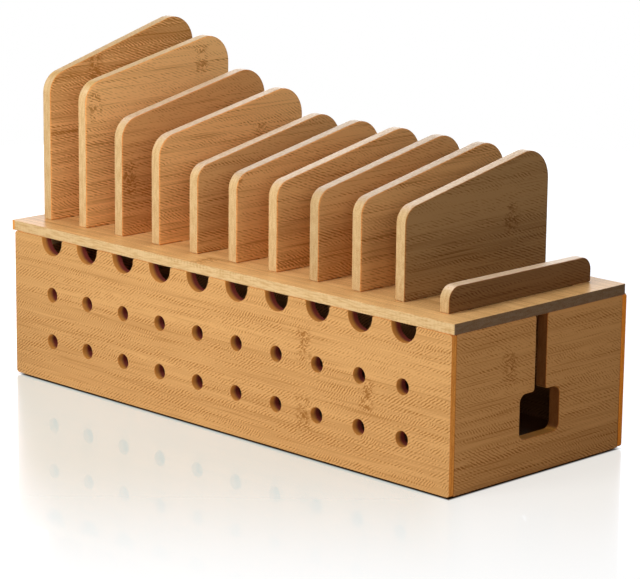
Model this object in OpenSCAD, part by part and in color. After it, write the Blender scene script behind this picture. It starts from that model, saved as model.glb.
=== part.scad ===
// Bamboo charging station: a vented box with a lift-off lid that carries
// ten pull-out dividers and a low end stop. Millimetres, +Z up, +X towards
// the slotted end, +Y to the back, origin on the table under the middle.

/* [Box] */
// Length of the box along its front
box_l = 396.1; // [380:0.1:420]
// Depth of the box from front to back
box_w = 158.8; // [150:0.1:180]
// Height of the four walls
wall_h = 97.6; // [90:0.1:120]
// Thickness of the four walls
wall_t = 8; // [7:0.5:10]
// Thickness left of a long wall where an end wall is let into it
corner_tongue = 4; // [3:0.5:5]
// Radius of the long walls' corners, seen from the front
wall_corner_r = 2; // [1:0.5:6]

/* [Base and feet] */
// Thickness of the base board
base_t = 5; // [4:0.5:8]
// Depth of the groove in the walls that holds the base board
groove_depth = 4; // [2:0.5:5]
// Height of wall left below the groove
groove_lip = 3; // [3:0.5:8]
// Gap between the base board's edge and the bottom of its groove
base_gap = 0.25; // [0.1:0.05:0.5]
// Diameter of a rubber foot
foot_d = 12; // [8:0.5:20]
// Distance from the base board's visible corner to a foot's centre, each way
foot_inset = 14; // [10:0.5:40]
// Gap between the walls and the table
foot_gap = 1.2; // [0.8:0.1:4]

/* [Vent holes] */
// Distance from each end of the box to the first column of holes and notches
hole_margin = 38.3; // [30:0.1:60]
// Number of columns
hole_columns = 10; // [4:1:10]
// Diameter of a vent hole
vent_d = 10; // [5:0.5:14]
// Height of the lower row above the walls' bottom edge
vent_low_z = 27.7; // [20:0.1:35]
// Height of the upper row above the walls' bottom edge
vent_high_z = 59.6; // [50:0.1:68]

/* [Cable notches] */
// Width of a notch in the front wall's rim
notch_w = 20; // [12:0.5:24]
// Depth of a notch
notch_depth = 11.3; // [11.3:0.1:16]
// Radius of the notch's two shoulders
notch_shoulder_r = 1.2; // [0.5:0.1:1.2]

/* [Cord opening] */
// Width of the opening in the right end wall
cord_w = 36; // [24:1:50]
// Height of the opening
cord_h = 28; // [16:1:32]
// Height of the opening's sill above the walls' bottom edge
cord_z = 22.6; // [16:0.1:30]
// Radius of the opening's corners
cord_corner_r = 5; // [2:0.5:8]
// Width of the slot from the rim down to the opening
slot_w = 10; // [6:0.5:14]
// Radius of the slot's shoulders
slot_shoulder_r = 2.2; // [1:0.1:3]

/* [Lid] */
// Thickness of the lid board
lid_t = 6.6; // [6:0.1:10]
// How far the lid stands out past the box's left end
lid_overhang_left = 4.2; // [0.5:0.1:6]
// How far the lid stands out past the box's right end
lid_overhang_right = 1; // [0.5:0.1:6]
// How far the lid's front edge is set back from the box's front
lid_front_inset = 0.9; // [0:0.1:3]
// How far the lid's back edge is set in from the box's back
lid_back_inset = 2.7; // [0:0.1:4]
// Radius of the lid's corners, seen from above
lid_corner_r = 0.8; // [0.5:0.1:6]
// Side of a square locating block under the lid
locator_side = 14; // [10:0.5:18]
// Height of a locating block
locator_h = 8; // [4:0.5:12]
// Play between a locating block and the walls
locator_play = 0.8; // [0.3:0.1:1.5]

/* [Dividers] */
// Thickness of a divider
divider_t = 8; // [6:0.5:10]
// Length of a divider from front to back
divider_l = 128.8; // [120:0.1:135]
// Number of dividers
divider_count = 10; // [5:1:10]
// Distance from the lid's left end to the middle of divider 1
divider_start = 15.4; // [13:0.1:18]
// Distance from the middle of the last divider to the middle of the end stop
last_gap = 38.4; // [30:0.1:45]
// Distance from the lid's front edge to the dividers' front edges
divider_setback = 18.3; // [14:0.1:22]
// Radius of the front corners of dividers 1 to 4
tall_front_r = 15; // [8:0.5:18]
// Radius of the front corners of the other dividers
short_front_r = 11; // [6:0.5:18]
// Radius of every divider's back corner
divider_back_r = 19; // [10:0.5:22]
// Height of divider 1 above the lid at its front edge
divider_1_front_h = 96.6; // [80:0.1:110]
// Height of divider 1 above the lid at its back edge
divider_1_back_h = 134.3; // [120:0.1:150]
// Height of divider 2 above the lid at its front edge
divider_2_front_h = 95.1; // [80:0.1:110]
// Height of divider 2 above the lid at its back edge
divider_2_back_h = 122.8; // [110:0.1:140]
// Height of divider 3 above the lid at its front edge
divider_3_front_h = 75.6; // [60:0.1:90]
// Height of divider 3 above the lid at its back edge
divider_3_back_h = 103.9; // [95:0.1:120]
// Height of divider 4 above the lid at its front edge
divider_4_front_h = 69; // [55:0.1:80]
// Height of divider 4 above the lid at its back edge
divider_4_back_h = 95.1; // [85:0.1:110]
// Height of the other dividers above the lid at their front edges
short_front_h = 55.4; // [40:0.1:65]
// Height of the other dividers above the lid at their back edges
short_back_h = 82.3; // [70:0.1:95]

/* [End stop] */
// Thickness of the low end stop
stop_t = 8; // [6:0.5:10]
// Length of the end stop from front to back
stop_l = 128.8; // [120:0.1:135]
// Height of the end stop above the lid
stop_h = 16; // [12:0.5:24]
// Radius of the end stop's upper corners
stop_corner_r = 8.5; // [4:0.5:11]
// Distance from the lid's front edge to the end stop's front edge
stop_setback = 15.5; // [10:0.1:20]
// Distance from the lid's right end to the middle of the end stop
stop_edge = 22.6; // [18:0.1:26]

/* [Tabs] */
// Length of the tab under each divider and the end stop
tab_l = 90; // [60:1:96]
// Gap all round a tab in its mortise
tab_gap = 0.2; // [0.1:0.05:0.3]
// How far a tab stops short of the lid's underside
tab_short = 0.6; // [0.3:0.1:2]

/* [Hidden] */
$fn = 64;
// How far a cut runs past the face that it opens
over = 1;
// Flats in each upper corner of a divider or the end stop
arc_steps = 16;

rim_z = foot_gap + wall_h;
lid_top_z = rim_z + lid_t;
inner_l = box_l - 2 * wall_t;
inner_w = box_w - 2 * wall_t;
end_wall_w = box_w - 2 * corner_tongue;
base_z = foot_gap + groove_lip;
base_l = inner_l + 2 * (groove_depth - base_gap);
base_w = inner_w + 2 * (groove_depth - base_gap);

lid_l = box_l + lid_overhang_left + lid_overhang_right;
// The lid is the longest piece and has its middle at X = 0; the box has its middle here
box_x = (lid_overhang_left - lid_overhang_right) / 2;
lid_front_y = -box_w / 2 + lid_front_inset;
lid_back_y = box_w / 2 - lid_back_inset;
lid_w = lid_back_y - lid_front_y;

first_x = -lid_l / 2 + divider_start;
stop_x = lid_l / 2 - stop_edge;
divider_pitch = (stop_x - last_gap - first_x) / (divider_count - 1);
divider_y = lid_front_y + divider_setback;
stop_y = lid_front_y + stop_setback;
tab_h = lid_t - tab_short;

// Front and back heights of the dividers that have their own
own_front_h = [divider_1_front_h, divider_2_front_h, divider_3_front_h, divider_4_front_h];
own_back_h = [divider_1_back_h, divider_2_back_h, divider_3_back_h, divider_4_back_h];

function divider_x(i) = first_x + (i - 1) * divider_pitch;
function has_own_height(i) = i <= len(own_front_h);
function front_h(i) = has_own_height(i) ? own_front_h[i - 1] : short_front_h;
function back_h(i) = has_own_height(i) ? own_back_h[i - 1] : short_back_h;
function front_r(i) = has_own_height(i) ? tall_front_r : short_front_r;
function column_x(i) = (i / (hole_columns - 1) - 1 / 2) * (box_l - 2 * hole_margin);

// Moves a piece drawn around X = 0 to the middle of the box
module at_box() {
    translate([box_x, 0, 0]) children();
}

// A w by h rectangle with its lower left corner at the origin and round corners
module round_rect(w, h, r) {
    translate([r, 0]) square([w - 2 * r, h]);
    translate([0, r]) square([w, h - 2 * r]);
    for (x = [r, w - r], y = [r, h - r]) translate([x, y]) circle(r);
}

// What is cut away at a corner at the origin to round it to radius r;
// sx and sy say on which side of the corner the solid lies, and so the waste
module corner_waste(r, sx, sy) {
    difference() {
        translate([sx < 0 ? -r : 0, sy < 0 ? -r : 0]) square(r);
        translate([sx * r, sy * r]) circle(r);
    }
}

// Stands a drawing in the X-Z plane, t thick, with its face at Y = 0 and its body behind
module stand_along_x(t) {
    translate([0, t, 0]) rotate([90, 0, 0]) linear_extrude(t) children();
}

// Stands a drawing in the Y-Z plane, t thick, from X = 0 upwards
module stand_along_y(t) {
    rotate([90, 0, 90]) linear_extrude(t) children();
}

// Room for the base board in the walls, with the edge gap
module base_groove() {
    translate([-base_l / 2 - base_gap, -base_w / 2 - base_gap, base_z])
        cube([base_l + 2 * base_gap, base_w + 2 * base_gap, base_t]);
}

// The long wall's outline, with its lower left corner at the origin
module long_wall_outline() {
    round_rect(box_l, wall_h, wall_corner_r);
}

// A long wall with its outer face at the front of the box
module long_wall() {
    difference() {
        translate([-box_l / 2, -box_w / 2, foot_gap])
            stand_along_x(wall_t) long_wall_outline();
        for (side = [-1, 1])
            translate([side * (inner_l / 2 + wall_t / 2 + over / 2), 0, foot_gap + wall_h / 2])
                cube([wall_t + over, end_wall_w, wall_h + 2 * over], center = true);
        base_groove();
    }
}

// The cable notch, cut down from the rim at the origin
module notch_outline() {
    straight = notch_depth - notch_w / 2;
    translate([-notch_w / 2, -straight]) square([notch_w, straight + over]);
    translate([0, -straight]) circle(notch_w / 2);
    for (side = [-1, 1])
        translate([side * notch_w / 2, 0]) corner_waste(notch_shoulder_r, side, -1);
}

// One column of two vent holes through a long wall
module vent_column() {
    for (z = [vent_low_z, vent_high_z])
        translate([0, 0, foot_gap + z])
            rotate([90, 0, 0]) cylinder(d = vent_d, h = wall_t + 2 * over, center = true);
}

module vents() {
    for (i = [0 : hole_columns - 1])
        translate([column_x(i), -box_w / 2 + wall_t / 2, 0]) vent_column();
}

module front_wall() {
    color("burlywood")
    at_box() difference() {
        long_wall();
        vents();
        for (i = [0 : hole_columns - 1])
            translate([column_x(i), -box_w / 2 - over, rim_z])
                stand_along_x(wall_t + 2 * over) notch_outline();
    }
}

module back_wall() {
    color("burlywood")
    at_box() difference() {
        mirror([0, 1, 0]) long_wall();
        mirror([0, 1, 0]) vents();
    }
}

// A plain end wall on the right, let into the long walls
module end_wall() {
    difference() {
        translate([box_l / 2 - wall_t, -end_wall_w / 2, foot_gap])
            cube([wall_t, end_wall_w, wall_h]);
        base_groove();
    }
}

module left_end_wall() {
    color("peru") at_box() mirror([1, 0, 0]) end_wall();
}

// The cord opening and the slot above it, around the wall's middle, from its bottom edge
module cord_outline() {
    opening_top = cord_z + cord_h;
    translate([-cord_w / 2, cord_z]) round_rect(cord_w, cord_h, cord_corner_r);
    translate([-slot_w / 2, cord_z + cord_h / 2]) square([slot_w, wall_h + over - cord_z - cord_h / 2]);
    for (side = [-1, 1]) {
        translate([side * slot_w / 2, wall_h]) corner_waste(slot_shoulder_r, side, -1);
        translate([side * slot_w / 2, opening_top]) corner_waste(slot_shoulder_r, side, 1);
    }
}

module right_end_wall() {
    color("peru")
    at_box() difference() {
        end_wall();
        translate([box_l / 2 - wall_t - over, 0, foot_gap])
            stand_along_y(wall_t + 2 * over) cord_outline();
    }
}

module base_board() {
    color("tan") at_box()
        translate([-base_l / 2, -base_w / 2, base_z]) cube([base_l, base_w, base_t]);
}

// A rubber foot stuck under the base board; sx and sy choose its corner
module foot(sx, sy) {
    color("dimgray") at_box()
        translate([sx * (inner_l / 2 - foot_inset), sy * (inner_w / 2 - foot_inset), 0])
            cylinder(d = foot_d, h = base_z);
}

// The slot through the lid for one tab, from front to back around the origin
module mortise(t) {
    half_l = tab_l / 2 + tab_gap;
    r = t / 2 + tab_gap;
    translate([-r, -half_l]) square([2 * r, 2 * half_l]);
    for (side = [-1, 1]) translate([0, side * half_l]) circle(r);
}

module lid_board() {
    color("wheat")
    difference() {
        translate([-lid_l / 2, lid_front_y, rim_z])
            linear_extrude(lid_t) round_rect(lid_l, lid_w, lid_corner_r);
        for (i = [1 : divider_count])
            translate([divider_x(i), divider_y + divider_l / 2, rim_z - over])
                linear_extrude(lid_t + 2 * over) mortise(divider_t);
        translate([stop_x, stop_y + stop_l / 2, rim_z - over])
            linear_extrude(lid_t + 2 * over) mortise(stop_t);
    }
}

// A square block glued under the lid, inside one corner of the box
module locator(sx, sy) {
    middle = locator_side / 2 + locator_play;
    color("tan") at_box()
        translate([sx * (inner_l / 2 - middle), sy * (inner_w / 2 - middle), rim_z - locator_h / 2])
            cube([locator_side, locator_side, locator_h], center = true);
}

// Points of the arc about c from the angle a0 to a1
function arc(c, r, a0, a1) =
    [for (k = [0 : arc_steps]) let (a = a0 + (a1 - a0) * k / arc_steps) c + r * [cos(a), sin(a)]];

// A board's outline from front (X = 0) to back (X = l): hf and hb are the heights
// at which its sloping top meets the front and back edges, rf and rb the corner radii
module sloped_outline(l, hf, hb, rf, rb) {
    slope = atan((hb - hf) / l);
    front_c = [rf, hf + rf * tan(slope) - rf / cos(slope)];
    back_c = [l - rb, hb - rb * tan(slope) - rb / cos(slope)];
    polygon(concat(
        [[0, 0], [l, 0]],
        arc(back_c, rb, 0, 90 + slope),
        arc(front_c, rf, 90 + slope, 180)
    ));
}

// The tab under a board of length l
module tab_outline(l) {
    translate([(l - tab_l) / 2, -tab_h]) square([tab_l, tab_h + over]);
}

module divider(i) {
    color("peru")
        translate([divider_x(i) - divider_t / 2, divider_y, lid_top_z])
            stand_along_y(divider_t) {
                sloped_outline(divider_l, front_h(i), back_h(i), front_r(i), divider_back_r);
                tab_outline(divider_l);
            }
}

module end_stop() {
    color("sienna")
        translate([stop_x - stop_t / 2, stop_y, lid_top_z])
            stand_along_y(stop_t) {
                sloped_outline(stop_l, stop_h, stop_h, stop_corner_r, stop_corner_r);
                tab_outline(stop_l);
            }
}

front_wall();
back_wall();
left_end_wall();
right_end_wall();
base_board();
foot(-1, -1);  // foot_front_left
foot(1, -1);  // foot_front_right
foot(-1, 1);  // foot_back_left
foot(1, 1);  // foot_back_right
lid_board();
locator(-1, -1);  // locator_front_left
locator(1, -1);  // locator_front_right
locator(-1, 1);  // locator_back_left
locator(1, 1);  // locator_back_right
for (i = [1 : divider_count])
    divider(i);
end_stop();
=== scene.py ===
"""Looks of the bamboo charging station: bamboo and rubber materials, rounded edges, floor, lights and camera."""
import math

import bpy
from mathutils import Matrix, Vector

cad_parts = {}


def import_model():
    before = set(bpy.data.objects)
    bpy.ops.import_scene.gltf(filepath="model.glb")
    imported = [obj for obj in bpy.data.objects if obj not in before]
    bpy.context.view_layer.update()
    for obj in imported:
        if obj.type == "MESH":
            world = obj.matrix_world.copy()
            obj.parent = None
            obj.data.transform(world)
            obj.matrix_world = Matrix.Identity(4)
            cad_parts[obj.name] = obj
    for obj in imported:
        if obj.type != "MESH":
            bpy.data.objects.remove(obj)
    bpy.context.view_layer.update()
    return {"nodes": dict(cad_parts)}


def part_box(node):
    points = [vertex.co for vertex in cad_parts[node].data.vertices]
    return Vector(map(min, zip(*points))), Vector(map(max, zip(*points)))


MM = 0.001
WHITE = (1.0, 1.0, 1.0)
BLACK = (0.0, 0.0, 0.0)

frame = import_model()
nodes = frame["nodes"]


# ---------------------------------------------------------------- camera

def camera():
    """The photograph's view: a pinhole fitted to the edges and hole centres of the photograph."""
    yaw, pitch, roll = 0.78201824, -0.22701053, 0.01115490
    focal_px, photo_width_px, sensor = 2808.207, 640, 36.0
    place = Vector((1247.551, -1242.448, 486.186)) * MM
    forward = Vector((-math.sin(yaw) * math.cos(pitch), math.cos(yaw) * math.cos(pitch), math.sin(pitch)))
    right = forward.cross(Vector((0, 0, 1))).normalized()
    up = right.cross(forward)
    right, up = (math.cos(roll) * right + math.sin(roll) * up, math.cos(roll) * up - math.sin(roll) * right)
    data = bpy.data.cameras.new("camera")
    data.sensor_width = sensor
    data.lens = sensor * focal_px / photo_width_px
    data.clip_start, data.clip_end = 0.05, 20.0
    cam = bpy.data.objects.new("camera", data)
    cam.matrix_world = Matrix.Translation(place) @ Matrix((right, up, -forward)).transposed().to_4x4()
    bpy.context.scene.collection.objects.link(cam)
    bpy.context.scene.camera = cam


# ---------------------------------------------------------------- node graphs

class Graph:
    """A material's node tree, with short names for what the materials here are built from."""

    def __init__(self, name):
        self.material = bpy.data.materials.new(name)
        self.material.use_nodes = True
        self.tree = self.material.node_tree
        self.tree.nodes.clear()

    def node(self, kind, **settings):
        made = self.tree.nodes.new("ShaderNode" + kind)
        for key, value in settings.items():
            setattr(made, key, value)
        return made

    def plug(self, socket, value):
        """Links a socket to another, or sets it to a number or colour. None leaves it as it is."""
        if isinstance(value, bpy.types.NodeSocket):
            self.tree.links.new(value, socket)
        elif value is not None:
            socket.default_value = (*value, 1.0) if socket.type == "RGBA" and len(value) == 3 else value

    def math(self, operation, a, b=None):
        made = self.node("Math", operation=operation)
        for socket, value in zip(made.inputs, (a, b)):
            self.plug(socket, value)
        return made.outputs[0]

    def add(self, a, b):
        return self.math("ADD", a, b)

    def sub(self, a, b):
        return self.math("SUBTRACT", a, b)

    def mul(self, a, b):
        return self.math("MULTIPLY", a, b)

    def vector(self, x, y, z):
        made = self.node("CombineXYZ")
        for socket, value in zip(made.inputs, (x, y, z)):
            self.plug(socket, value)
        return made.outputs[0]

    def parts(self, vector):
        made = self.node("SeparateXYZ")
        self.plug(made.inputs[0], vector)
        return dict(zip("XYZ", made.outputs))

    def noise(self, vector, detail=2.0):
        """Noise, 0 to 1 around 0.5, one cell per unit of the vector."""
        made = self.node("TexNoise")
        for key, value in (("Vector", vector), ("Scale", 1.0), ("Detail", detail)):
            self.plug(made.inputs[key], value)
        return made.outputs["Fac"]

    def chance(self, value):
        """A random number, 0 to 1, that stays the same while the value does."""
        made = self.node("TexWhiteNoise", noise_dimensions="1D")
        self.plug(made.inputs["W"], value)
        return made.outputs["Value"]

    def step(self, value, start, end, low=0.0, high=1.0):
        """Low up to start, high from end on, smooth between."""
        made = self.node("MapRange", interpolation_type="SMOOTHSTEP")
        for key, number in (("Value", value), ("From Min", start), ("From Max", end), ("To Min", low),
                            ("To Max", high)):
            self.plug(made.inputs[key], number)
        return made.outputs["Result"]

    def mix(self, share, a, b, blend="MIX"):
        made = self.node("Mix", data_type="RGBA", blend_type=blend)
        self.plug(made.inputs["Factor"], share)
        self.plug(made.inputs[6], a)
        self.plug(made.inputs[7], b)
        return made.outputs[2]

    def times(self, a, b):
        """The product of two colours or vectors."""
        return self.mix(1.0, a, b, "MULTIPLY")

    def bump(self, height, strength, distance):
        made = self.node("Bump")
        for key, value in (("Height", height), ("Strength", strength), ("Distance", distance)):
            self.plug(made.inputs[key], value)
        return made.outputs["Normal"]

    def shader(self, kind, colour, **inputs):
        made = self.node(kind)
        for key, value in (("Color", colour), *inputs.items()):
            self.plug(made.inputs[key], value)
        return made.outputs[0]

    def join(self, a, b, share=None):
        """Two shaders added up, or mixed with that share of the second."""
        made = self.node("AddShader" if share is None else "MixShader")
        for socket, value in zip(made.inputs, (a, b) if share is None else (share, a, b)):
            self.plug(socket, value)
        return made.outputs[0]

    def surface(self, shader):
        out = self.node("OutputMaterial")
        self.tree.links.new(shader, out.inputs["Surface"])
        return self.material

    def principled(self, colour, normal, rough, ior=None):
        made = self.node("BsdfPrincipled")
        for key, value in (("Base Color", colour), ("Roughness", rough), ("Normal", normal), ("IOR", ior)):
            self.plug(made.inputs[key], value)
        return self.surface(made.outputs[0])


# ---------------------------------------------------------------- bamboo

# The wide face goes from FACE to STREAK. The others are edges, end grain and the walls of holes.
FACE = (0.745, 0.375, 0.118)
STREAK = (0.37, 0.139, 0.026)
CREAM = (0.65, 0.45, 0.225)
YELLOW_EDGE = (0.60, 0.37, 0.13)
# Pale top edges, their paleness a painted sheen
PAINTED_SHEEN_EDGE = (0.69, 0.50, 0.33)
ORANGE = (0.74, 0.29, 0.058)
SILL = (0.64, 0.29, 0.065)
# End grain of the end walls, which lines their slot and cord opening: darkened with painted shade
PAINTED_SHADE_END = (0.21, 0.075, 0.02)
# Painted shade deep in the holes and notches
HOLE_SHADE = (0.23, 0.047, 0.036)

# What a colour is multiplied by: on rounded corners, in an edge's lines, in the dots of end grain, and as painted
# shade on the inner faces that look into the box, dark low down and tinted higher up
ROUNDED = (0.92, 0.62, 0.36)
EDGE_LINE = (0.80, 0.70, 0.56)
END_DOT = (0.76, 0.64, 0.50)
INSIDE_SHADE_LOW = (0.18, 0.14, 0.14)
INSIDE_SHADE_HIGH = (1.08, 0.93, 1.00)
INSIDE_SHADE_HEIGHTS = (20.0 * MM, 55.0 * MM)

# How squarely a place looks out along the board's thickness, where its rounded corner ends and the flat face starts
FLAT = (0.90, 0.985)

# The lacquer: what it is like on a face, where it is worn off upright edges, and where it has pooled on edges that
# look up
ROUGHNESS = 0.33
LACQUER_IOR = 1.12
WORN_IOR = 1.03
POOLED_IOR = 1.25

# In mm: the width of a glued strip and where across the board one begins, the pitch of the dashes, and how far
# they and the fibres stray
STRIP_MM = 21.0
FIRST_STRIP_MM = 18.0
HATCH_MM = 1.75
HATCH_SHAKE_MM = 2.8
WAVER_MM = 2.4
ZIGZAG_MM = 8.0
RAGGED_MM = 9.0
# In some places the dashes slant less: this share of the slant elsewhere
FLATTER = 0.6

# How much each signal darkens the wide face
BASE_DARK = 0.24
STRIP_WEIGHT = 0.24
BROAD_WEIGHT = 1.0
LINE_WEIGHT = 0.42
PALE_WEIGHT = -0.28
HATCH_WEIGHT = 0.60
CLOUD_WEIGHT = 0.30
JOINT_WEIGHT = 0.16
KNUCKLE_PALE, KNUCKLE_DARK = -0.12, 0.72


def shaded(colour, *by):
    """The colour made lighter or darker, by one factor or by one for each of red, green and blue."""
    return tuple(c * k for c, k in zip(colour, by * 3 if len(by) == 1 else by))


def fibre_noise(g, u, v, w, length, width, detail=2.0):
    """Noise drawn out along the grain; length and width in mm."""
    return g.noise(g.vector(g.mul(u, 1 / length), g.mul(v, 1 / width), g.mul(w, 1 / width)), detail)


def cross_hatch(g, u, v, w, here, lean):
    """The short slanted dashes that cut fibres leave, -1 to 1: strong in some bands, faint in others. lean is how
    far a dash runs along the grain for each mm across it."""
    shake = g.mul(fibre_noise(g, u, v, w, 6.0, 2.2), HATCH_SHAKE_MM)
    dashes = []
    for slant in (lean, FLATTER * lean):
        along = g.add(g.sub(u, g.mul(v, slant)), shake)
        dashes.append(g.math("SINE", g.mul(along, 2 * math.pi / (HATCH_MM * math.hypot(1, slant)))))
    turn = g.step(g.noise(g.vector(g.mul(u, 0.012), g.mul(v, 0.09), here + 4.0)), 0.50, 0.60)
    wave = g.add(g.mul(dashes[0], g.sub(1.0, turn)), g.mul(dashes[1], turn))
    band = g.step(fibre_noise(g, u, g.add(v, 90.0), w, 80.0, 4.5), 0.36, 0.60, 0.2, 1.0)
    broken = g.step(fibre_noise(g, u, g.add(v, 30.0), w, 7.0, 1.5, 1.0), 0.38, 0.56, 0.1, 1.1)
    return g.mul(wave, g.mul(band, broken))


def knuckle_mask(g, u, v, here, knuckles):
    """Where the culm's nodes cross a strip: ragged patches, each at (along, across) in mm."""
    ragged = g.mul(g.sub(g.noise(g.vector(g.mul(u, 0.25), g.mul(v, 0.12), here + 9.0)), 0.5), RAGGED_MM)
    mask = None
    for ku, kv in knuckles:
        du = g.math("ABSOLUTE", g.add(g.sub(u, ku), ragged))
        dv = g.math("ABSOLUTE", g.sub(v, kv))
        patch = g.mul(g.step(du, 1.5, 8.5, 1.0, 0.0), g.step(dv, STRIP_MM * 0.40, STRIP_MM * 0.53, 1.0, 0.0))
        mask = patch if mask is None else g.math("MAXIMUM", mask, patch)
    return mask


def bamboo_face(g, u, v, w, here, hatch, streaks, knuckles, upper):
    """How dark each place of the wide face is, 0 to 1, and its relief: strips, fibres, dashes and knuckles."""
    row = g.mul(g.sub(v, FIRST_STRIP_MM), 1 / STRIP_MM)
    tone = g.chance(g.add(g.math("FLOOR", row), here))
    to_joint = g.mul(g.sub(0.5, g.math("ABSOLUTE", g.sub(g.math("FRACT", row), 0.5))), STRIP_MM)
    joint = g.step(to_joint, 0.0, 0.6, 1.0, 0.0)

    # Fibres waver slowly, and zigzag where they cross a knuckle
    waver = g.mul(g.sub(g.noise(g.vector(g.mul(u, 0.012), g.mul(v, 0.03), here)), 0.5), WAVER_MM)
    knuckle = None
    if knuckles:
        knuckle = knuckle_mask(g, u, v, here, knuckles)
        zigzag = g.sub(g.noise(g.vector(g.mul(u, 0.33), g.mul(v, 0.20), here + 2.0), 1.0), 0.5)
        waver = g.add(waver, g.mul(g.mul(zigzag, knuckle), ZIGZAG_MM))
    vw = g.add(v, waver)
    us = g.add(u, g.mul(tone, 700.0))
    ws = g.add(w, here)

    broad = fibre_noise(g, us, vw, ws, 170.0, 6.0, 3.0)
    lines = g.step(fibre_noise(g, us, vw, ws, 55.0, 1.25, 1.0), 0.52, 0.72)
    pale = g.step(fibre_noise(g, us, g.add(vw, 50.0), ws, 70.0, 1.9, 1.0), 0.52, 0.74)
    cloud = g.noise(g.vector(g.mul(u, 0.010), g.mul(v, 0.02), here + 5.0))

    dark = g.add(g.mul(g.sub(tone, 0.5), STRIP_WEIGHT), BASE_DARK)
    for signal, weight in ((g.sub(broad, 0.5), BROAD_WEIGHT * streaks), (lines, LINE_WEIGHT * streaks),
                           (pale, PALE_WEIGHT * streaks), (hatch, HATCH_WEIGHT),
                           (g.sub(cloud, 0.5), CLOUD_WEIGHT), (joint, JOINT_WEIGHT)):
        dark = g.add(dark, g.mul(signal, weight))
    # Painted light and shade: the face lighter or darker from one height to another
    if upper is not None:
        start, end, share = upper
        dark = g.add(dark, g.step(v, start, end, 0.0, share))
    if knuckle is not None:
        grit = fibre_noise(g, u, vw, ws, 4.5, 1.4, 1.0)
        dark = g.add(dark, g.mul(knuckle, g.step(grit, 0.36, 0.64, KNUCKLE_PALE, KNUCKLE_DARK)))
    dark = g.math("MAXIMUM", g.math("MINIMUM", dark, 1.0), 0.0)
    relief = g.sub(g.mul(hatch, -0.2), g.add(g.mul(lines, 0.5), g.mul(joint, 0.6)))
    return dark, relief


def edge_colour(g, u, v, w, hatch, edge, tip):
    """Edges along the grain: fine lines and dashes, and orange up to tip, where there is one."""
    fine = g.step(fibre_noise(g, u, v, w, 8.0, 0.9), 0.40, 0.66)
    colour = g.mix(g.add(g.mul(fine, 0.8), g.mul(hatch, 0.3)), edge, shaded(edge, *EDGE_LINE))
    if tip is not None:
        colour = g.mix(g.step(u, tip, tip + 0.8, 0.85, 0.0), colour, ORANGE)
    return colour


def end_colour(g, v, w, here, end):
    """End grain: cut fibre bundles, which show as dots, in denser and thinner bands."""
    dots = g.node("TexVoronoi", feature="F1")
    g.plug(dots.inputs["Vector"], g.vector(g.mul(v, 1.3), g.mul(w, 1.3), here))
    g.plug(dots.inputs["Scale"], 1.0)
    dot = g.step(dots.outputs["Distance"], 0.12, 0.50, 0.7, 0.0)
    band = g.step(g.noise(g.vector(g.mul(v, 0.12), g.mul(w, 0.6), here + 6.0)), 0.35, 0.65, 0.0, 0.5)
    return g.mix(g.add(dot, band), end, shaded(end, *END_DOT))


def paint_hole_shade(g, u, w, cut, outer_face, reach):
    """Painted shade on the cuts of a drilled board: its holes and notches are darker the deeper they go."""
    deep = g.step(g.math("ABSOLUTE", g.sub(w, outer_face)), 2.0, 5.5)
    in_hole = g.step(g.math("ABSOLUTE", u), reach, reach + 2.0, 1.0, 0.0)
    return g.mix(in_hole, cut, g.mix(deep, SILL, HOLE_SHADE))


def bamboo(name, along, across, seed, tone, edge=CREAM, end=CREAM, streaks=1.0, knuckles=(), lean=-2.6, upper=None,
           inner=None, drilled=None, tip=None, gloss_ior=LACQUER_IOR):
    """Lacquered bamboo board. along and across are the axes of its wide face, "X", "Y" or "Z". edge and end are the
    colours of its edges along the grain and its end grain.
    streaks is how strongly its fibres show, knuckles is where culm nodes cross it, each (along, across) in mm, and
    lean is how its dashes slant. The height span (from, to, share) paints light and shade on the face: it gets darker
    by share from one height to another, in mm across, and lighter where share is below 0. inner is the side, 1 or -1,
    of the face that looks into the box, which gets painted shade, dark low down.
    drilled, on a board whose holes and notches get painted shade, darker deeper in, is (where its outer face lies, how
    far from the middle its holes reach), in mm. tip is how far along, in mm, its edges are orange. gloss_ior sets how
    much the face shines."""
    g = Graph(name)
    coords = g.node("TexCoord")
    place = g.parts(coords.outputs["Object"])
    n = g.parts(coords.outputs["Normal"])
    through = ({"X", "Y", "Z"} - {along, across}).pop()
    u, v, w = (g.mul(place[axis], 1 / MM) for axis in (along, across, through))
    here = seed * 137.0
    w_here = g.add(w, here)
    hatch = cross_hatch(g, u, v, w_here, here, lean)

    dark, relief = bamboo_face(g, u, v, w, here, hatch, streaks, knuckles, upper)
    colour = g.mix(dark, shaded(FACE, *tone), shaded(STREAK, *tone))

    cut = g.mix(g.step(g.math("ABSOLUTE", n[along]), 0.45, 0.85), edge_colour(g, u, v, w_here, hatch, edge, tip),
                end_colour(g, v, w, here, end))
    # Painted shade in the holes and notches, darker deeper in
    if drilled is not None:
        cut = paint_hole_shade(g, u, w, cut, *drilled)
    facing = g.math("ABSOLUTE", n[through])
    colour = g.mix(g.step(facing, 0.35, 0.80, 1.0, 0.0), colour, cut)
    rounding = g.mul(g.step(facing, 0.25, 0.6), g.step(facing, *FLAT, 1.0, 0.0))
    colour = g.mix(g.mul(rounding, 0.8), colour, g.times(colour, ROUNDED))
    if inner is not None:
        # Painted shade on the faces that look into the box: dark low down, tinted higher up
        inside_shade = g.times(colour, g.mix(g.step(place["Z"], *INSIDE_SHADE_HEIGHTS), INSIDE_SHADE_LOW, INSIDE_SHADE_HIGH))
        colour = g.mix(g.step(g.mul(n[through], inner), 0.5, 0.9), colour, inside_shade)
    rim_ior = g.step(n["Z"], 0.15, 0.60, WORN_IOR, POOLED_IOR)
    return g.principled(colour, g.bump(relief, 0.15, 0.15 * MM), ROUGHNESS,
                        g.step(facing, *FLAT, rim_ior, gloss_ior))


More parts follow.
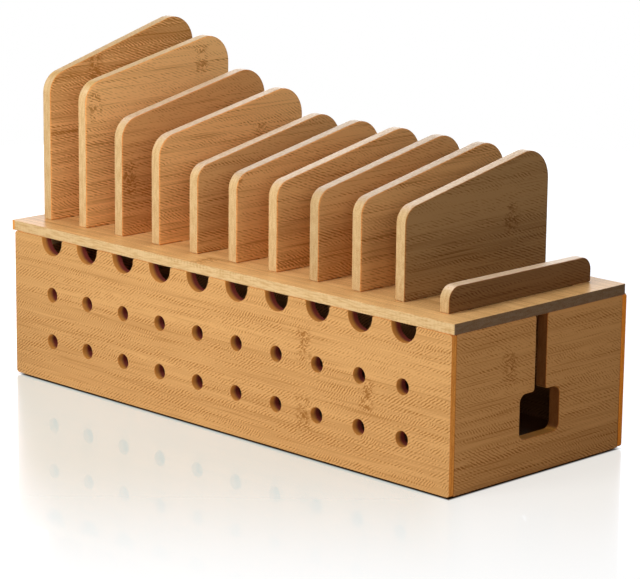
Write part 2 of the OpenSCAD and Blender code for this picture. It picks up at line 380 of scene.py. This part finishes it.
def rubber():
    g = Graph("foot_rubber")
    place = g.node("TexCoord").outputs["Object"]
    grain = g.noise(g.times(place, (900.0, 900.0, 900.0)), 3.0)
    colour = g.mix(grain, (0.018, 0.018, 0.018), (0.045, 0.043, 0.040))
    return g.principled(colour, g.bump(grain, 0.3, 0.1 * MM), 0.75)


# ---------------------------------------------------------------- the pieces

def soften(node, width):
    """Rounds the piece's sharp edges a little, as they are sanded before lacquering."""
    weld = node.modifiers.new("weld", "WELD")
    weld.merge_threshold = 0.01 * MM
    flat = node.modifiers.new("flat", "DECIMATE")
    flat.decimate_type = "DISSOLVE"
    flat.angle_limit = math.radians(0.5)
    bevel = node.modifiers.new("bevel", "BEVEL")
    bevel.width = width
    bevel.segments = 3
    bevel.limit_method = "ANGLE"
    bevel.angle_limit = math.radians(35)
    bevel.harden_normals = False
    normals = node.modifiers.new("normals", "WEIGHTED_NORMAL")
    normals.keep_sharp = False


def dress(node, material, width):
    node.data.materials.clear()
    node.data.materials.append(material)
    soften(node, width)


def board(node, along, across, seed, tone, width, **looks):
    """A bamboo board of its own tone, one number or one for each of red, green and blue, with edges rounded by
    width."""
    tone = tone if isinstance(tone, tuple) else (tone,)
    dress(nodes[node], bamboo(node + "_bamboo", along, across, seed, tone, **looks), width)


LONG_WALL_TONE = (0.84, 0.91, 1.06)
RIGHT_WALL_TONE = (0.72, 0.69, 0.71)
# This close to a long wall's end, in mm, no cut is a hole's
HOLES_FROM_END = 12.0


def walls():
    low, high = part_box("front_wall")
    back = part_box("back_wall")[1][1] / MM
    reach = high[0] / MM - HOLES_FROM_END
    board("front_wall", "X", "Z", 1, LONG_WALL_TONE, 0.9 * MM, end=ORANGE, edge=ORANGE, streaks=0.6, lean=1.4,
          inner=1, drilled=(low[1] / MM, reach), knuckles=((131.8, 49.5), (78.6, 70.5), (79.0, 28.5)))
    board("back_wall", "X", "Z", 2, LONG_WALL_TONE, 0.9 * MM, end=shaded(ORANGE, 1.12, 0.95, 0.60), edge=ORANGE,
          streaks=0.6, lean=1.4, inner=-1, drilled=(back, reach),
          knuckles=((-120.0, 70.5), (35.0, 28.5), (140.0, 49.5)))
    # The end walls' end grain, lining their slot and cord opening, is darkened with painted shade
    board("left_end_wall", "Y", "Z", 3, 1.0, 0.5 * MM, edge=SILL, end=PAINTED_SHADE_END, inner=1, knuckles=((20.0, 49.5),))
    # The right end wall's face gets painted light towards its top
    board("right_end_wall", "Y", "Z", 4, RIGHT_WALL_TONE, 0.5 * MM, edge=SILL, end=PAINTED_SHADE_END, lean=-1.7,
          upper=(20.0, 75.0, -0.20), inner=-1, knuckles=((-28.0, 70.5),))
    board("base_board", "X", "Y", 5, 0.9, 0.4 * MM, inner=1)


def feet():
    material = rubber()
    for name in ("foot_front_left", "foot_front_right", "foot_back_left", "foot_back_right"):
        dress(nodes[name], material, 0.6 * MM)


LID_TONE = (1.20, 1.42, 1.84)
LID_IOR = 1.25
# The lid's long edges are orange this far from its left end, in mm
LID_TIP = 2.6


def lid():
    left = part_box("lid_board")[0][0] / MM
    board("lid_board", "X", "Y", 6, LID_TONE, 1.0 * MM, end=shaded(CREAM, 0.30, 0.27, 0.31), lean=1.4, inner=-1,
          tip=left + LID_TIP, gloss_ior=LID_IOR, knuckles=((-20.0, -70.0), (150.0, 34.0)))
    for k, name in enumerate(("locator_front_left", "locator_front_right", "locator_back_left",
                              "locator_back_right")):
        board(name, "X", "Y", 40 + k, 0.9, 0.5 * MM)


# Each divider's lightness, and by number what sets some of them apart: yellower or redder wood, top edges with less
# painted sheen, the front edge's lightness, and where knuckles cross the face, in mm from the middle and up
DIVIDER_TONES = (1.20, 1.27, 0.94, 1.26, 0.95, 1.10, 1.06, 0.92, 1.02, 0.48)
DIVIDER_TINT = (1.0, 1.09, 1.34)
YELLOW_TINT = (1.0, 1.14, 1.44)
RED_TINT = (1.0, 1.0, 1.15)
YELLOW = (1, 2)
RED = (3,)
WEAK_SHEEN_EDGED = (6, 8, 9)
FRONT_TONES = {2: 1.06, 8: 0.84, 9: 0.93, 10: 0.93}
DIVIDER_KNUCKLES = {1: ((-21.0, 207.0),), 2: ((-52.0, 186.0), (43.5, 207.0)), 3: ((-53.5, 144.0),),
                    4: ((30.0, 165.0),), 6: ((-60.0, 165.0),), 7: ((15.0, 123.0),), 9: ((-20.0, 144.0),),
                    10: ((35.0, 144.0),)}
STOP_TONE = (0.28, 0.27, 0.31)
# Between these heights over the lid and under its top, in mm, a divider's face gets painted light, lighter towards
# the top, or on divider 1 painted shade, darker towards the top
SHADE_OVER_LID, SHADE_UNDER_TOP = 25, 10
PAINTED_UPPER_LIGHT = -0.22
PAINTED_UPPER_SHADES = {1: 0.30}


def dividers():
    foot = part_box("lid_board")[1][2] / MM
    for i, tone in enumerate(DIVIDER_TONES, start=1):
        name = f"divider_{i}"
        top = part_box(name)[1][2] / MM
        # Top edges: yellow on the first two, pale with painted sheen on the others, weaker on some
        edge = YELLOW_EDGE if i in YELLOW else shaded(PAINTED_SHEEN_EDGE, 0.85 if i in WEAK_SHEEN_EDGED else 1.0)
        tint = YELLOW_TINT if i in YELLOW else RED_TINT if i in RED else DIVIDER_TINT
        upper = (foot + SHADE_OVER_LID, top - SHADE_UNDER_TOP, PAINTED_UPPER_SHADES.get(i, PAINTED_UPPER_LIGHT))
        board(name, "Y", "Z", 10 + i, shaded(tint, tone), 1.0 * MM, edge=edge,
              end=shaded(CREAM, FRONT_TONES.get(i, 1.0)), upper=upper, knuckles=DIVIDER_KNUCKLES.get(i, ()))
    # The stop's top edge is paler still: painted sheen
    board("end_stop", "Y", "Z", 30, STOP_TONE, 1.0 * MM, edge=shaded(PAINTED_SHEEN_EDGE, 1.20, 1.25, 1.35),
          end=shaded(CREAM, 0.93))


# ---------------------------------------------------------------- floor, lights, world

# How much of the lamps' light the floor shows, and how much it glows by itself
FLOOR_LIT = 0.16
FLOOR_GLOW = 0.86
# What the floor mirrors of each colour before the front wall, before the right end wall and under the box, and how
# much of that is crisp
FRONT_MIRROR = (0.50, 0.39, 0.41)
END_MIRROR = (0.15, 0.17, 0.21)
UNDER_MIRROR = (0.3, 0.3, 0.3)
SOFT_ROUGHNESS, CRISP_ROUGHNESS, CRISP = 0.25, 0.03, 0.35
# Where one look of the floor turns into the next, in metres: to the right from the front wall's to the end wall's,
# backwards from plain to mirror, outwards from the painted contact shadow under the box to the open, and from the
# middle to the white world
FRONT_TO_END = (0.06, 0.10)
PLAIN_TO_MIRROR = (-0.40, -0.10)
CONTACT_SHADOW_TO_OPEN = (-1.5 * MM, 1.2 * MM)
FLOOR_TO_WORLD = (0.40, 0.85)


def floor_mirror(g, p):
    """What the floor mirrors of each colour, less and less in front of the box."""
    back = g.mul(g.sub(p["Y"], p["X"]), math.sqrt(0.5))
    side = g.mul(g.add(p["Y"], p["X"]), math.sqrt(0.5))
    mirror = g.mix(g.step(side, *FRONT_TO_END), FRONT_MIRROR, END_MIRROR)
    return g.mix(g.step(back, *PLAIN_TO_MIRROR), BLACK, mirror)


def outside_box(g, p):
    """How far a place on the floor lies outside the box's walls, and below 0 under the box."""
    low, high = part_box("front_wall")[0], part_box("back_wall")[1]
    outside = []
    for axis, start, end in (("X", low[0], high[0]), ("Y", low[1], high[1])):
        outside.append(g.sub(g.math("ABSOLUTE", g.sub(p[axis], (start + end) / 2)), (end - start) / 2))
    return g.math("MAXIMUM", *outside)


def floor_material():
    """Polished white, with a painted contact shadow under the box and along the foot of its walls, and white as the
    world further out.
    """
    g = Graph("floor_white")
    p = g.parts(g.node("TexCoord").outputs["Object"])
    mirror = floor_mirror(g, p)
    sheet = g.mix(1.0, WHITE, mirror, "SUBTRACT")
    # Painted contact shadow: the floor is black under the box and just outside its walls
    past_contact_shadow = g.step(outside_box(g, p), *CONTACT_SHADOW_TO_OPEN)
    sheet = g.mix(past_contact_shadow, BLACK, sheet)
    mirror = g.mix(past_contact_shadow, UNDER_MIRROR, mirror)
    radius = g.math("SQRT", g.add(g.mul(p["X"], p["X"]), g.mul(p["Y"], p["Y"])))
    lit = g.join(g.shader("BsdfDiffuse", g.times(sheet, (FLOOR_LIT,) * 3)),
                 g.shader("Emission", sheet, Strength=FLOOR_GLOW))
    faded = g.join(lit, g.shader("Emission", sheet, Strength=1.0), g.step(radius, *FLOOR_TO_WORLD))
    gloss = g.join(g.shader("BsdfGlossy", mirror, Roughness=SOFT_ROUGHNESS),
                   g.shader("BsdfGlossy", mirror, Roughness=CRISP_ROUGHNESS), CRISP)
    return g.surface(g.join(g.shader("BsdfDiffuse", (0.8, 0.8, 0.8)), g.join(faded, gloss),
                            g.node("LightPath").outputs["Is Camera Ray"]))


def floor():
    bpy.ops.mesh.primitive_circle_add(vertices=96, radius=1.0, fill_type="NGON", location=(0, 0, 0))
    disc = bpy.context.object
    disc.name = "floor"
    disc.data.materials.append(floor_material())


def area_light(name, place, aim, size, power):
    data = bpy.data.lights.new(name, "AREA")
    data.shape = "RECTANGLE"
    data.size, data.size_y = size
    data.energy = power
    lamp = bpy.data.objects.new(name, data)
    place = Vector(place)
    lamp.matrix_world = Matrix.Translation(place) @ (Vector(aim) - place).to_track_quat("-Z", "Y").to_matrix().to_4x4()
    bpy.context.scene.collection.objects.link(lamp)
    return lamp


def lights():
    middle = (0.0, 0.0, 0.10)
    area_light("key", (-0.02, -0.75, 0.45), middle, (0.25, 0.4), 5.1)
    area_light("above", (0.05, 0.10, 0.80), middle, (0.3, 0.4), 1.45)
    area_light("front_left", (-0.45, -0.30, 0.50), middle, (0.25, 0.25), 0.70)
    area_light("right", (1.0, -0.10, 0.70), middle, (0.6, 0.6), 2.6)
    area_light("side", (0.65, -0.60, 0.30), middle, (0.3, 0.3), 1.0)
    # Bright panels that show only in the lacquer
    area_light("sheen", (-0.50, 0.47, 0.55), (0.05, 0.0, 0.18), (0.35, 0.25), 0.32).visible_diffuse = False
    area_light("backdrop", (-1.6, 1.6, 0.5), middle, (2.6, 1.4), 14.0).visible_diffuse = False


WORLD_LIGHT = 0.011


def world():
    """White to the camera, in reflections and through glass, and dim as a light."""
    sky = bpy.data.worlds.new("studio")
    sky.use_nodes = True
    tree = sky.node_tree
    tree.nodes.clear()
    rays = tree.nodes.new("ShaderNodeLightPath")
    seen = rays.outputs["Is Camera Ray"]
    for ray in ("Is Glossy Ray", "Is Transmission Ray"):
        either = tree.nodes.new("ShaderNodeMath")
        either.operation = "MAXIMUM"
        tree.links.new(seen, either.inputs[0])
        tree.links.new(rays.outputs[ray], either.inputs[1])
        seen = either.outputs[0]
    mix = tree.nodes.new("ShaderNodeMixShader")
    tree.links.new(seen, mix.inputs[0])
    for socket, strength in ((mix.inputs[1], WORLD_LIGHT), (mix.inputs[2], 1.0)):
        background = tree.nodes.new("ShaderNodeBackground")
        background.inputs["Strength"].default_value = strength
        background.inputs["Color"].default_value = (*WHITE, 1.0)
        tree.links.new(background.outputs[0], socket)
    out = tree.nodes.new("ShaderNodeOutputWorld")
    tree.links.new(mix.outputs[0], out.inputs["Surface"])
    bpy.context.scene.world = sky


bpy.context.scene.view_settings.view_transform = "Standard"
camera()
walls()
feet()
lid()
dividers()
floor()
lights()
world()
